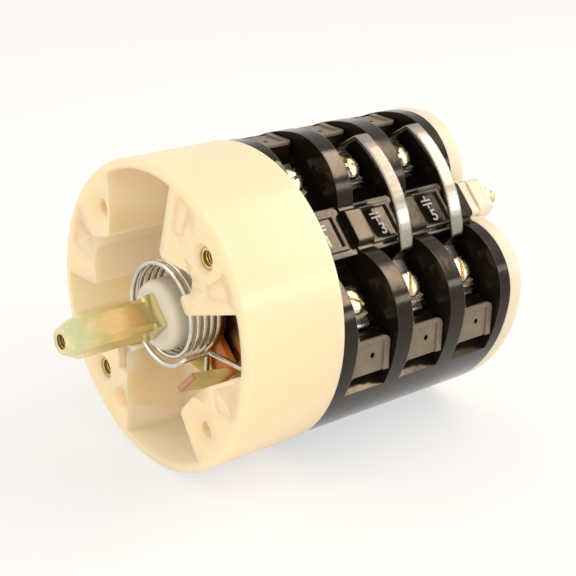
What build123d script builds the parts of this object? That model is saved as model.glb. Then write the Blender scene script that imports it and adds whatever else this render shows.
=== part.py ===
from build123d import *
import math
import os

os.makedirs("parts", exist_ok=True)

# Frame
# Millimetres. The shaft axis is Y, the operating end points to -Y and Z is up.
# The origin is the centre of the front mounting face, on the shaft axis.
# The contact stages sit at 45 degrees in that frame: shapes drawn in the stage frame
# have the terminal sides at +X and -X and the contact chambers at +Z and -Z.
STAGE_TILT = 45.0

# Driving sizes of the envelope
HOUSING_R = 43.0
HOUSING_LEN = 31.5
HOUSING_WALL = 2.6
FLOOR_T = 12.0
STAGE_R = 42.5
STAGE_COUNT = 3
STAGE_PITCH = 20.0
FLANGE_T = 5.5
END_COVER_T = 4.0
REAR_T = 5.5
BOSS_H = 2.5

# Two-lobed outline of the stages and the rear plates
LOBE_ANGLE = 49.5
LOBE_SHARE = 0.575
VALLEY_SHARE = 0.153
HUMP_RISE = 1.9
HUMP_SHARE = 0.13

# Panel fixing
HOLE_SQUARE = 48.0
HOLE_R = 2.4
HOLE_DEPTH = 12.0
SINK_R = 3.8
SINK_DEPTH = 1.9
INSERT_R = 3.4
INSERT_BORE_R = 2.1
INSERT_LEN = 8.0
INSERT_SUNK = 1.6

# Shaft and bearings
SHAFT_SIDE = 9.5
SHAFT_TURNED_R = 5.75
SHAFT_OUT = 27.0
SHAFT_TIP_R = 3.0
TAP_R = 2.1
TAP_DEPTH = 16.0
JOURNAL_R = 4.7
HUB_R = 9.8
HUB_FRONT = 1.2
BUSH_R = 12.0
RUN_GAP = 0.05

# Spring and levers
WIRE_R = 0.75
COIL_R = 13.15
COIL_X = 1.24
COIL_Z = 0.81
COIL_START = 3.0
COIL_TURNS = 6
COIL_GAP = 0.25
LEVER_T = 1.9
LEVER_DISC_R = 11.5
LEVER_HALF = 4.5
FINGER_HALF = 4.6
FINGER_T = 1.7
FINGER_TIP_Y = 1.8
FINGER_TIP_R = 19.2
FINGER_LEAN = 0.131
LEVER_GAP = 1.1
PLATE_T = 2.2
PLATE_R = 20.4
EAR_R = 20.4
EAR_HALF = 3.25
EAR_TIP_Y = 4.0
EAR_ANGLE = 173.0

# Contact stages
SHELF_X = STAGE_R - 20.9
SHELF_HALF = 31.5
TERMINAL_T = 1.6
WASHER_T = 1.1
SCREW_Y = 12.5
SCREW_Z = 19.0
SCREW_HEAD_R = 3.9
SCREW_HEAD_T = 2.9
SCREW_SHANK_R = 2.0
SCREW_SHANK_LEN = 6.0
CLIP_HALF = 4.0
CAM_R = 14.6
CAM_BORE_R = 15.2
CAM_HUB_R = 9.6
CAM_HUB_BORE_R = 10.1
CHAMBER_HALF = 11.5
CHAMBER_Z = STAGE_R - 4.5
BRIDGE_Z = CHAMBER_Z - 8.0
LEG_Z = BRIDGE_Z - 5.5
LEG_END_X = 6.0
TIP_X = 9.0
GUARD_X = STAGE_R - 2.4
GUARD_DEEP = 7.8
GUARD_Z = -3.2
GUARD_TALL = 10.2
WINDOW_X = STAGE_R - 12.9
WINDOW_HALF = 5.65
WINDOW_Y0 = 6.0
WINDOW_Y1 = 17.2
DECK_X = WINDOW_X - 0.8
DECK_HALF = 7.4

# Jumper straps
STRAP_T = 1.1
STRAP_Y0 = 13.3
STRAP_Y1 = 17.7
STRAP_BOW = 4.6
FOOT_Y0 = 8.5
FOOT_REACH_OUT = 4.9
FOOT_REACH_IN = 4.4

# Tie rods
ROD_X = STAGE_R - 16.2
ROD_R = 2.0
NUT_AF = 7.0
NUT_T = 3.2
ROD_END = 6.8

# Positions along the shaft
FLOOR_Y = HOUSING_LEN - FLOOR_T
STAGE_Y = [HOUSING_LEN + k * STAGE_PITCH for k in range(STAGE_COUNT)]
COVER_Y = HOUSING_LEN + STAGE_COUNT * STAGE_PITCH
REAR_Y = COVER_Y + END_COVER_T
REAR_END = REAR_Y + REAR_T
PLATE_Y = FLOOR_Y - PLATE_T
LEVER_Y = PLATE_Y - LEVER_GAP - LEVER_T
COIL_END = LEVER_Y - COIL_GAP - WIRE_R


def slab(face, y0, y1):
    """Prism of an X-Z outline between two positions along the shaft."""
    return extrude(Plane.XZ.offset(-y1) * face, amount=y1 - y0)


def rod(x, z, radius, y0, y1):
    """Round bar parallel to the shaft."""
    return slab(Pos(x, z) * Circle(radius), y0, y1)


def block(x0, x1, y0, y1, z0, z1):
    """Rectangular block from its limits."""
    size = (x1 - x0, y1 - y0, z1 - z0)
    centre = ((x0 + x1) / 2, (y0 + y1) / 2, (z0 + z1) / 2)
    return Pos(*centre) * Box(*size)


def xrod(x0, x1, y, z, radius):
    """Round bar along X."""
    return Pos((x0 + x1) / 2, y, z) * Rot(0, 90, 0) * Cylinder(radius, x1 - x0)


def polar(radius, degrees):
    """Point of the X-Z plane from a radius and an angle."""
    a = math.radians(degrees)
    return radius * math.cos(a), radius * math.sin(a)


def tilted(shape):
    """Turns a shape from the stage frame to the object's frame."""
    return Rot(0, -STAGE_TILT, 0) * shape


def cone(x, z, wide, narrow, depth):
    """Conical sink in the mounting face."""
    return Pos(x, depth / 2, z) * Rot(-90, 0, 0) * Cone(wide, narrow, depth)


def lobed(radius):
    """Two-lobed outline: a circle led by tangent arcs into a flat valley with a hump at each side."""
    cx, cz = polar(LOBE_SHARE * radius, LOBE_ANGLE)
    arc_r = (1 - LOBE_SHARE) * radius
    valley_z = VALLEY_SHARE * radius
    valley_x = cx + math.sqrt(arc_r ** 2 - (cz - valley_z) ** 2)
    to_valley = math.degrees(math.atan2(valley_z - cz, valley_x - cx))
    mx, mz = polar(arc_r, (LOBE_ANGLE + to_valley) / 2)
    end = polar(radius, LOBE_ANGLE)
    edges = []
    for s in (1, -1):
        a = (s * valley_x, s * valley_z)
        b = (s * (cx + mx), s * (cz + mz))
        c = (s * end[0], s * end[1])
        d = (-s * end[0], s * end[1])
        e = (-s * (cx + mx), s * (cz + mz))
        f = (-s * valley_x, s * valley_z)
        edges.append(ThreePointArc(a, b, c))
        edges.append(ThreePointArc(c, (0, s * radius), d))
        edges.append(ThreePointArc(d, e, f))
        edges.append(Line(f, (-s * valley_x, -s * valley_z)))
    hump_half = HUMP_SHARE * radius
    hump = RectangleRounded(4 * HUMP_RISE, 2 * hump_half, 0.7 * HUMP_RISE)
    outline = make_face(edges)
    for s in (1, -1):
        outline += Pos(s * (valley_x - HUMP_RISE), 0) * hump
    return outline


def both_sides(shape):
    """The shape and its half-turn copy about the shaft axis."""
    return [shape, Rot(0, 180, 0) * shape]


def four_ways(shape):
    """The shape at the four terminal places of a stage."""
    up = mirror(shape, about=Plane.XY)
    return both_sides(shape) + both_sides(up)


# Front housing
# A turned cup: the wall, four corner blocks that reach the mounting face and a thick floor.
outer = slab(Circle(HOUSING_R), 0, HOUSING_LEN)
outer = fillet(outer.edges().filter_by(GeomType.CIRCLE).group_by(Axis.Y)[0], 0.9)
cavity = Circle(HOUSING_R - HOUSING_WALL)
UR_BLOCK = [(11.2, 46), (4.7, 18.9), (19.9, 18.5), (19.1, 13.3), (13.7, 10.7), (16.8, 6.4),
            (46, 16.8), (46, 46)]
UL_BLOCK = [(-20, 46), (-19, 23), (-19.5, 17.5), (-25.8, 12), (-26.6, 0.8), (-46, 0.6), (-46, 46)]
LL_BLOCK = [(-11, -14), (-46, -12), (-46, -46), (-11.6, -46)]
LR_BLOCK = [(14.2, -21.9), (20.1, -15.4), (25.4, -10.7), (46, 1.5), (46, -46), (30.8, -46)]
for corner_block in (UR_BLOCK, UL_BLOCK, LL_BLOCK, LR_BLOCK):
    cavity -= make_face(Polyline(corner_block, close=True))
hollow = slab(cavity, -1, FLOOR_Y)
housing = outer - hollow
upright = housing.edges().filter_by(Axis.Y)
inner = upright.filter_by(lambda e: math.hypot(e.center().X, e.center().Z) < HOUSING_R - HOUSING_WALL - 0.6)
housing = fillet(inner, 1.6)
# Relief in the blocks for the fixed plate and the ear that stands up from it
housing -= slab(Circle(PLATE_R + 0.4), PLATE_Y - 0.4, FLOOR_Y)
ear_mid = EAR_R + PLATE_T / 2
ear_slot = slab(Pos(ear_mid, 0) * Rectangle(PLATE_T + 1.0, 2 * EAR_HALF + 1.1), EAR_TIP_Y - 1, FLOOR_Y)
housing -= Rot(0, -EAR_ANGLE - STAGE_TILT, 0) * ear_slot
# Bearing bore for the bush
housing -= slab(Circle(BUSH_R + RUN_GAP), FLOOR_Y - 1, HOUSING_LEN + 1)
# Notch in the left rim, a slot in the lower left block and shallow moulding recesses
housing -= block(-44, -37.5, -1, 5.5, -24.5, -13.6)
housing -= block(-15.8, -11.4, -1, 2.6, -20.6, -13)
RECESSES = [
    [(13.0, 37.4), (18.6, 34.7), (15.6, 27.8), (10.4, 27.0)],
    [(25.9, 17.6), (32.1, 21.7), (35.5, 16.3), (26.4, 14.0)],
    [(-35.7, 19.2), (-27.5, 15.1), (-27.9, 7.3), (-37.9, 9.9)],
    [(29.2, -9.8), (38.0, -4.9), (36.9, -15.1), (30.2, -15.6)],
]
for corners in RECESSES:
    dent = make_face(Polyline(corners, close=True))
    housing -= slab(fillet(dent.vertices(), 1.2), -1, 0.45)
# Panel holes through the face and a conical dimple beside them
half = HOLE_SQUARE / 2
for sx in (1, -1):
    for sz in (1, -1):
        housing -= rod(sx * half, sz * half, HOLE_R, -1, HOLE_DEPTH)
housing -= rod(-14.7, -30.0, HOLE_R, -1, 2.5)
housing -= cone(-14.7, -30.0, SINK_R, HOLE_R, SINK_DEPTH)
for s in (1, -1):
    housing -= rod(s * half, s * half, INSERT_R, INSERT_SUNK, INSERT_SUNK + INSERT_LEN)
for s in (1, -1):
    housing -= tilted(rod(s * ROD_X, 0, ROD_R + 0.2, FLOOR_Y + 1.3, HOUSING_LEN + 1))
export_step(housing, "parts/front_housing.step")

# Tapped brass bushes in the corner blocks that lie on the terminal diagonal
inserts = []
for s in (1, -1):
    sleeve = rod(s * half, s * half, INSERT_R, INSERT_SUNK, INSERT_SUNK + INSERT_LEN)
    sleeve -= rod(s * half, s * half, INSERT_BORE_R, 0, HOLE_DEPTH)
    inserts.append(sleeve)
export_step(Compound(children=inserts), "parts/mount_inserts.step")

# Shaft
# A square bar; the outer length has turned corners and ends in a cone with a tapped hole.
full_y = -2.0
shaft_end = REAR_Y - 0.5
square = Rectangle(SHAFT_SIDE, SHAFT_SIDE)
shaft = slab(square, full_y, shaft_end)
turned = slab(square & Circle(SHAFT_TURNED_R), -SHAFT_OUT, full_y)
cone_len = 4.6
cone_r = SHAFT_TURNED_R + 0.05
profile = Polyline((0, -SHAFT_OUT), (SHAFT_TIP_R + 0.5, -SHAFT_OUT), (cone_r, -SHAFT_OUT + cone_len),
                   (cone_r, full_y + 1), (0, full_y + 1), close=True)
lathe = revolve(Plane.XY * make_face(profile), Axis.Y)
shaft += turned & lathe
shaft += rod(0, 0, JOURNAL_R, shaft_end, REAR_Y + 4.0)
shaft -= rod(0, 0, TAP_R, -SHAFT_OUT - 1, -SHAFT_OUT + TAP_DEPTH)
export_step(tilted(shaft), "parts/shaft.step")

# Collar in front, inside the spring, with a rounded front edge
lever_back = LEVER_Y + LEVER_T
hub = rod(0, 0, HUB_R, HUB_FRONT, LEVER_Y)
hub = fillet(hub.edges().filter_by(GeomType.CIRCLE).group_by(Axis.Y)[0], 2.6)
hub -= slab(square, 0, 40)
export_step(tilted(hub), "parts/shaft_hub.step")

# Bearing bush in the housing floor
bush = rod(0, 0, BUSH_R, lever_back, HOUSING_LEN - 0.1)
bush -= slab(square, 0, 40)
export_step(tilted(bush), "parts/shaft_bush.step")

# Moving lever
# Pressed plate behind the spring with one square finger bent forward and leaning outward.
foot_r = FINGER_TIP_R + FINGER_LEAN * (lever_back - FINGER_TIP_Y)
arm = Circle(LEVER_DISC_R) + Pos(0, -foot_r / 2) * Rectangle(2 * LEVER_HALF, foot_r)
lever = slab(arm, LEVER_Y, lever_back)
finger_side = [(FINGER_TIP_Y, -FINGER_TIP_R), (FINGER_TIP_Y, -FINGER_TIP_R - FINGER_T),
               (lever_back, -foot_r - FINGER_T), (lever_back, -foot_r)]
finger = make_face(Polyline(finger_side, close=True))
lever += extrude(Plane.YZ.offset(-FINGER_HALF) * finger, amount=2 * FINGER_HALF)
outside_bend = lever.edges().filter_by(Axis.X).filter_by(
    lambda e: e.center().Y > lever_back - 0.1 and e.center().Z < -foot_r - 0.5)
lever = fillet(outside_bend, 1.2)
lever -= slab(square, 0, 40)
export_step(tilted(lever), "parts/return_lever.step")

# Fixed plate
# A ring on the housing floor with one side ear bent forward.
ear_reach = EAR_R + PLATE_T
ear_arm = Rot(0, 0, EAR_ANGLE) * Pos(ear_reach / 2, 0) * Rectangle(ear_reach, 2 * EAR_HALF)
plate = slab(Circle(PLATE_R) + ear_arm, PLATE_Y, FLOOR_Y)
ear = block(EAR_R, ear_reach, EAR_TIP_Y, FLOOR_Y, -EAR_HALF, EAR_HALF)
plate += Rot(0, -EAR_ANGLE, 0) * ear
plate -= slab(Circle(BUSH_R + 0.5), 0, 40)
export_step(tilted(plate), "parts/stop_plate.step")

# Torsion spring
# Open turns round the collar, a little off its axis. The front end crosses under the turns
# as a bar and turns outward; the rear end turns outward at once, on the other side.
bar_r = COIL_R + 2 * WIRE_R + 0.85
leg_a = -87.0
leg_b = -98.0


def wire_point(angle, radius, y):
    """Point of the spring wire round the spring's own axis."""
    x, z = polar(radius, angle)
    return COIL_X + x, y, COIL_Z + z


lead = []
for k in range(6):
    share = k / 5
    ease = share * share * (3 - 2 * share)
    lead.append(wire_point(leg_a - 110 + 110 * share, COIL_R + (bar_r - COIL_R) * ease,
                           COIL_START - 0.1 * ease))
turns = []
start_angle = leg_a - 110
span = 360 * (COIL_TURNS - 1) + leg_a - leg_b - 110
steps = 8 * COIL_TURNS
for k in range(steps + 1):
    a = start_angle - span * k / steps
    turns.append(wire_point(a, COIL_R, COIL_START + (COIL_END - COIL_START) * k / steps))
coil_path = Spline(*(lead[::-1][:-1] + turns))
wires = [sweep(Plane(coil_path @ 0, z_dir=coil_path % 0) * Circle(WIRE_R), path=coil_path)]
knee_y = COIL_END - 1.9
ax, ay, az = wire_point(leg_a, bar_r, COIL_START - 0.1)
bx, by, bz = wire_point(start_angle - span, COIL_R, COIL_END)
leg_pts_a = [(ax, ay, az), (ax + 0.2, knee_y, az), (12.2, knee_y + 0.4, -24.2)]
leg_pts_b = [(bx, by, bz), (bx - 1.7, by - 0.15, bz - 1.4), (-11.2, by - 0.7, -23.4)]
for pts, bend_r in ((leg_pts_a, 1.1), (leg_pts_b, 1.0)):
    bent = FilletPolyline(*pts, radius=bend_r)
    wires.append(sweep(Plane(bent @ 0, z_dir=bent % 0) * Circle(WIRE_R), path=bent))
export_step(Compound(children=[tilted(w) for w in wires]), "parts/return_spring.step")


# Cams
# Disc with a hub each side; the notches let a plunger drop at 45 degrees either way.
CAM_NOTCHES = [(45, 135, -45, -135), (45, -45), (135, -135)]
for k, y0 in enumerate(STAGE_Y):
    cam = rod(0, 0, CAM_HUB_R, y0 + 0.2, y0 + STAGE_PITCH - 0.2)
    cam += rod(0, 0, CAM_R, y0 + 7.0, y0 + 18.6)
    for angle in CAM_NOTCHES[k]:
        nx, nz = polar(CAM_R + 1.9, angle)
        cam -= rod(nx, nz, 3.9, y0 + 6, y0 + 19.5)
    cam -= slab(square, y0, y0 + STAGE_PITCH)
    export_step(tilted(cam), f"parts/cam_{k + 1}.step")

# Contact stages
# Front flange with the full outline, core with the cam bore and two contact chambers,
# terminal shelves, guard boxes beside the chambers and number bosses over the tie rods.
guard_mid = GUARD_Z - GUARD_TALL / 2
guard_foot = GUARD_Z - GUARD_TALL
for k, y0 in enumerate(STAGE_Y):
    y1 = y0 + STAGE_PITCH
    body = slab(lobed(STAGE_R), y0, y0 + FLANGE_T)
    core = Circle(STAGE_R - 0.6) & Rectangle(2 * SHELF_X, 2 * SHELF_HALF)
    lobe_wall = Circle(STAGE_R) & Rectangle(2 * CHAMBER_HALF + 4.0, 2 * STAGE_R)
    core += lobe_wall
    body += slab(core, y0 + FLANGE_T, y1)
    # Guard boxes, square to the object's frame, with a rim round a shallow panel
    for s in (1, -1):
        box_r = block(GUARD_X - GUARD_DEEP, GUARD_X, y0 + FLANGE_T, y1 - 0.6, guard_foot, GUARD_Z)
        top_rear = box_r.edges().filter_by(Axis.X).sort_by(lambda e: e.center().Y + e.center().Z)[-1]
        box_r = fillet(top_rear, 2.2)
        panel_y = y0 + FLANGE_T + 0.9
        box_r -= block(GUARD_X - 0.5, GUARD_X + 1, panel_y, y1 - 2.6, guard_foot - 1, GUARD_Z - 1.3)
        box_r -= xrod(GUARD_X - 2.6, GUARD_X + 1, y0 + 13.6, guard_mid, 0.8)
        tab_y = y0 + FLANGE_T
        tab = block(GUARD_X - 3, GUARD_X + 0.4, tab_y, tab_y + 2.2, GUARD_Z - 0.4, GUARD_Z + 1.6)
        guard = Rot(0, STAGE_TILT, 0) * (box_r + tab)
        guard_up = mirror(guard, about=Plane.YZ)
        for piece in (guard, guard_up):
            body += Rot(0, 0 if s > 0 else 180, 0) * piece
    # Number bosses: a deck over the tie rod and a framed window on it
    for s in (1, -1):
        boss = block(SHELF_X - 2, DECK_X, y0 + FLANGE_T, y1 - 0.3, -DECK_HALF, DECK_HALF)
        boss += block(DECK_X - 1, WINDOW_X, y0 + WINDOW_Y0, y0 + WINDOW_Y1, -WINDOW_HALF, WINDOW_HALF)
        pane = WINDOW_HALF - 1.1
        boss -= block(WINDOW_X - 0.7, WINDOW_X + 1, y0 + WINDOW_Y0 + 1.1, y0 + WINDOW_Y1 - 1.1, -pane, pane)
        body += Rot(0, 0 if s > 0 else 180, 0) * boss
    # Cam bore and the bore for the cam hub in the flange
    body -= rod(0, 0, CAM_BORE_R, y0 + 6.4, y1 + 1)
    body -= rod(0, 0, CAM_HUB_BORE_R, y0 - 1, y1)
    # Contact chambers, open to the rear
    for s in (1, -1):
        room = block(-CHAMBER_HALF, CHAMBER_HALF, y0 + 6.4, y1 + 1, CAM_BORE_R - 3.2, CHAMBER_Z)
        guide = block(-3.7, 3.7, y0 + 8.8, y1 + 1, 8, 20)
        slots = block(-SHELF_X - 1, SHELF_X + 1, y0 + 8.0, y1 + 1, LEG_Z - 0.1, LEG_Z + TERMINAL_T + 0.1)
        for cut in (room, guide, slots):
            body -= Rot(0, 0 if s > 0 else 180, 0) * cut
    # Holes for the terminal screws and the tie rods
    for sx in (1, -1):
        for sz in (1, -1):
            ends = sorted((sx * (SHELF_X - SCREW_SHANK_LEN - 0.6), sx * (SHELF_X + 1)))
            body -= xrod(*ends, y0 + SCREW_Y, sz * SCREW_Z, SCREW_SHANK_R + 0.1)
        body -= rod(sx * ROD_X, 0, ROD_R + 0.2, y0 - 1, y1 + 1)
    export_step(tilted(body), f"parts/stage_{k + 1}.step")

# Terminal strips: a flat pad under the screw, bent inward to a silver-tipped contact leg
for k, y0 in enumerate(STAGE_Y):
    strips = []
    pad = block(SHELF_X, SHELF_X + TERMINAL_T, y0 + 8.1, y0 + 17.0, 13.6, LEG_Z + TERMINAL_T)
    leg = block(LEG_END_X, SHELF_X + TERMINAL_T, y0 + 8.6, y0 + 16.4, LEG_Z, LEG_Z + TERMINAL_T)
    strip = pad + leg
    corner = strip.edges().filter_by(Axis.Y).filter_by(
        lambda e: e.center().X > SHELF_X + 1 and e.center().Z > LEG_Z + 1)
    strip = fillet(corner, 1.2)
    strip += Pos(TIP_X, y0 + SCREW_Y, LEG_Z + TERMINAL_T + 0.5) * Cylinder(2.0, 1.0)
    strip -= xrod(SHELF_X - 1, SHELF_X + TERMINAL_T + 1, y0 + SCREW_Y, SCREW_Z, SCREW_SHANK_R + 0.1)
    for copy_ in four_ways(strip):
        strips.append(tilted(copy_))
    export_step(Compound(children=strips), f"parts/terminals_{k + 1}.step")

# Contact bridges, plungers and leaf springs, shown with every contact open
bridges, plungers, leaves = [], [], []
for y0 in STAGE_Y:
    ym = y0 + SCREW_Y
    bar = block(-10.8, 10.8, ym - 3.0, ym + 3.0, BRIDGE_Z, BRIDGE_Z + 1.5)
    for sx in (1, -1):
        bar += Pos(sx * TIP_X, ym, BRIDGE_Z - 0.5) * Cylinder(2.0, 1.0)
    stem = block(-3.4, 3.4, ym - 3.4, ym + 3.4, CAM_R + 2.0, BRIDGE_Z)
    nose = rod(0, CAM_R + 3.45, 3.4, ym - 3.4, ym + 3.4)
    stem += nose
    bow = ThreePointArc((-8.2, BRIDGE_Z + 1.8), (0, CHAMBER_Z - 0.3), (8.2, BRIDGE_Z + 1.8))
    under = ThreePointArc((8.2, BRIDGE_Z + 1.5), (0, CHAMBER_Z - 0.8), (-8.2, BRIDGE_Z + 1.5))
    ends = [Line(bow @ 1, under @ 0), Line(under @ 1, bow @ 0)]
    leaf = slab(make_face([bow, under] + ends), ym - 2.4, ym + 2.4)
    for group, shape in ((bridges, bar), (plungers, stem), (leaves, leaf)):
        for copy_ in both_sides(shape):
            group.append(tilted(copy_))
export_step(Compound(children=bridges), "parts/bridges.step")
export_step(Compound(children=plungers), "parts/plungers.step")
export_step(Compound(children=leaves), "parts/bridge_springs.step")


# Clamp washers and terminal screws; a strap foot lifts the pair by its thickness
washers, screws = [], []
for k, y0 in enumerate(STAGE_Y):
    for sx in (1, -1):
        lift = STRAP_T if (k > 0 and sx > 0) else 0.0
        for sz in (1, -1):
            x0 = SHELF_X + TERMINAL_T + lift
            ym = y0 + SCREW_Y
            clip = Pos(x0 + WASHER_T / 2, ym, SCREW_Z) * Box(WASHER_T, 2 * CLIP_HALF, 2 * CLIP_HALF)
            clip -= xrod(x0 - 1, x0 + 3, ym, SCREW_Z, SCREW_SHANK_R)
            head = xrod(x0 + WASHER_T, x0 + WASHER_T + SCREW_HEAD_T, ym, SCREW_Z, SCREW_HEAD_R)
            head = fillet(head.edges().filter_by(GeomType.CIRCLE).group_by(Axis.X)[-1], 1.3)
            top = x0 + WASHER_T + SCREW_HEAD_T
            head -= block(top - 1.1, top + 1, ym - 0.55, ym + 0.55, SCREW_Z - 5, SCREW_Z + 5)
            shank = xrod(SHELF_X - SCREW_SHANK_LEN, x0 + WASHER_T, ym, SCREW_Z, SCREW_SHANK_R)
            screw = head + shank
            if sz < 0:
                clip = mirror(clip, about=Plane.XY)
                screw = mirror(screw, about=Plane.XY)
            if sx < 0:
                clip = mirror(clip, about=Plane.YZ)
                screw = mirror(screw, about=Plane.YZ)
            washers.append(tilted(clip))
            screws.append(tilted(screw))
export_step(Compound(children=washers), "parts/clamp_washers.step")
export_step(Compound(children=screws), "parts/terminal_screws.step")

# Jumper straps
# Flat strip from one terminal screw to the other: out along the guard box, in one long bow
# over the number boss and straight in again to its second foot.
foot_x = SHELF_X + TERMINAL_T
mid_x = foot_x + STRAP_T / 2
bow_from = (WINDOW_X + 4.7, SCREW_Z + 5.3)
bow_to = (WINDOW_X, -DECK_HALF - 2.2)
dx = bow_to[0] - bow_from[0]
dz = bow_to[1] - bow_from[1]
chord = math.hypot(dx, dz)
bow_top = ((bow_from[0] + bow_to[0]) / 2 - dz / chord * STRAP_BOW,
           (bow_from[1] + bow_to[1]) / 2 + dx / chord * STRAP_BOW)
bow = ThreePointArc(bow_from, bow_top, bow_to)
bow_pts = [((bow @ (i / 20)).X, (bow @ (i / 20)).Y) for i in range(21)]
STRAP_LINE = [(mid_x, SCREW_Z + 3.0), (mid_x, SCREW_Z + 7.4)] + bow_pts
STRAP_LINE += [(mid_x, bow_to[1] - 0.2), (mid_x, -SCREW_Z + 3.6)]
for k in range(1, STAGE_COUNT):
    y0 = STAGE_Y[k]
    run = FilletPolyline(*STRAP_LINE, radius=0.9)
    ribbon = trace(run, line_width=STRAP_T)
    strap = slab(ribbon, y0 + STRAP_Y0, y0 + STRAP_Y1)
    for sz in (1, -1):
        foot = block(foot_x, foot_x + STRAP_T, y0 + FOOT_Y0, y0 + STRAP_Y1,
                     SCREW_Z - FOOT_REACH_IN, SCREW_Z + FOOT_REACH_OUT)
        foot -= xrod(foot_x - 1, foot_x + STRAP_T + 1, y0 + SCREW_Y, SCREW_Z, SCREW_SHANK_R + 0.1)
        if sz < 0:
            foot = mirror(foot, about=Plane.XY)
        strap += foot
    export_step(tilted(strap), f"parts/strap_{k + 1}.step")

# End cover behind the last stage
cover = slab(lobed(STAGE_R), COVER_Y, REAR_Y)
cover -= rod(0, 0, JOURNAL_R + 3.5, COVER_Y - 1, REAR_Y + 1)
for s in (1, -1):
    cover -= rod(s * ROD_X, 0, ROD_R + 0.2, COVER_Y - 1, REAR_Y + 1)
export_step(tilted(cover), "parts/end_cover.step")

# Rear plate with a bearing bore and a raised boss round each tie rod
rear = slab(lobed(STAGE_R), REAR_Y, REAR_END)
rear = fillet(rear.edges().group_by(Axis.Y)[-1], 1.2)
for s in (1, -1):
    rear += slab(Pos(s * (ROD_X - 1.0), 0) * RectangleRounded(13, 12, 3), REAR_END - 2.5, REAR_END + BOSS_H)
rear -= rod(0, 0, JOURNAL_R + RUN_GAP, REAR_Y - 1, REAR_Y + 4.5)
for s in (1, -1):
    rear -= rod(s * ROD_X, 0, ROD_R + 0.2, REAR_Y - 1, REAR_END + BOSS_H + 1)
export_step(tilted(rear), "parts/rear_plate.step")

# Tie rods, washers and nuts
boss_y = REAR_END + BOSS_H
rods, rings, nuts = [], [], []
for s in (1, -1):
    x = s * ROD_X
    rods.append(tilted(rod(x, 0, ROD_R, FLOOR_Y + 1.5, boss_y + ROD_END)))
    ring_w = slab(Pos(x, 0) * (RectangleRounded(10, 10, 1.0) - Circle(ROD_R + 0.1)), boss_y, boss_y + 0.9)
    rings.append(tilted(ring_w))
    hexa = Pos(x, 0) * (RegularPolygon(NUT_AF / 2, 6, major_radius=False) - Circle(ROD_R))
    nuts.append(tilted(slab(hexa, boss_y + 0.9, boss_y + 0.9 + NUT_T)))
export_step(Compound(children=rods), "parts/tie_rods.step")
export_step(Compound(children=rings), "parts/tie_washers.step")
export_step(Compound(children=nuts), "parts/tie_nuts.step")
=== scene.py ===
import bpy, bmesh, math
from mathutils import Matrix, Vector


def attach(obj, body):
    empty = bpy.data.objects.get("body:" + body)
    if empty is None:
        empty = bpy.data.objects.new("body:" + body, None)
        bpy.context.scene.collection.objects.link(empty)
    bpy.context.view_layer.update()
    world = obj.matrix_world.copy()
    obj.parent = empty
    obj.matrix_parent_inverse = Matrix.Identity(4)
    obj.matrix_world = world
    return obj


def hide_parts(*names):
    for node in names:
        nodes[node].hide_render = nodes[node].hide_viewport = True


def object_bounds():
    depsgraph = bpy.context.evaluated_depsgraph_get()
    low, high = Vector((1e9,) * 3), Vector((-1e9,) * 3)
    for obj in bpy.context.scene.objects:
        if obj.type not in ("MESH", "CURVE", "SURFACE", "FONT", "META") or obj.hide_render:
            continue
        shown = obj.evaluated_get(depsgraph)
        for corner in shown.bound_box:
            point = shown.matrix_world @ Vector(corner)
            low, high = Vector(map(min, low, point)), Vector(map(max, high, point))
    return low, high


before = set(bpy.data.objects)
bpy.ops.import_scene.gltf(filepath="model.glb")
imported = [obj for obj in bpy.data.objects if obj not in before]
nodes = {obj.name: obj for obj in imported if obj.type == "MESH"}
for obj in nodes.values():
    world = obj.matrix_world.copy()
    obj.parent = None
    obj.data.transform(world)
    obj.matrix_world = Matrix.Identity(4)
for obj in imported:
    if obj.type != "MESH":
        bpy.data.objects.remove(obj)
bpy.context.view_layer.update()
mm = 0.001


# Front housing
# A cup moulded in ivory nylon, with four corner blocks that stand up to the panel. The nylon
# is glossy and lets some light in, with faint flow lines and fine darker specks.
class Sum:
    """A node's value that can be used in plain sums."""

    def __init__(self, tree, socket):
        self.tree, self.socket = tree, socket

    def _do(self, operation, a, b=0.0):
        n = self.tree.nodes.new("ShaderNodeMath")
        n.operation = operation
        for k, v in enumerate((a, b)):
            if isinstance(v, Sum):
                self.tree.links.new(v.socket, n.inputs[k])
            else:
                n.inputs[k].default_value = v
        return Sum(self.tree, n.outputs[0])

    def __add__(self, b): return self._do("ADD", self, b)
    def __radd__(self, b): return self._do("ADD", b, self)
    def __sub__(self, b): return self._do("SUBTRACT", self, b)
    def __rsub__(self, b): return self._do("SUBTRACT", b, self)
    def __mul__(self, b): return self._do("MULTIPLY", self, b)
    def __rmul__(self, b): return self._do("MULTIPLY", b, self)
    def __mod__(self, b): return self._do("FLOORED_MODULO", self, b)
    def __gt__(self, b): return self._do("GREATER_THAN", self, b)
    def __lt__(self, b): return self._do("LESS_THAN", self, b)
    def __abs__(self): return self._do("ABSOLUTE", self)


class Nodes:
    """A node tree; node() adds one node from its type, settings and sockets."""

    def __init__(self, tree):
        self.tree = tree

    def node(self, kind, out=0, settings=None, stops=None, **sockets):
        n = self.tree.nodes.new(kind)
        for key, value in (settings or {}).items():
            setattr(n, key, value)
        if stops:
            ramp = n.color_ramp
            while len(ramp.elements) < len(stops):
                ramp.elements.new(0.5)
            for element, (position, colour) in zip(ramp.elements, stops):
                element.position = position
                element.color = (*colour, 1) if isinstance(colour, tuple) else (colour,) * 3 + (1,)
        for key, value in sockets.items():
            by_number = key[0] == "i" and key[1:].isdigit()
            socket = n.inputs[int(key[1:])] if by_number else n.inputs[key.replace("_", " ")]
            if isinstance(value, Sum):
                self.tree.links.new(value.socket, socket)
            else:
                socket.default_value = value
        return Sum(self.tree, n.outputs[out])


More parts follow.
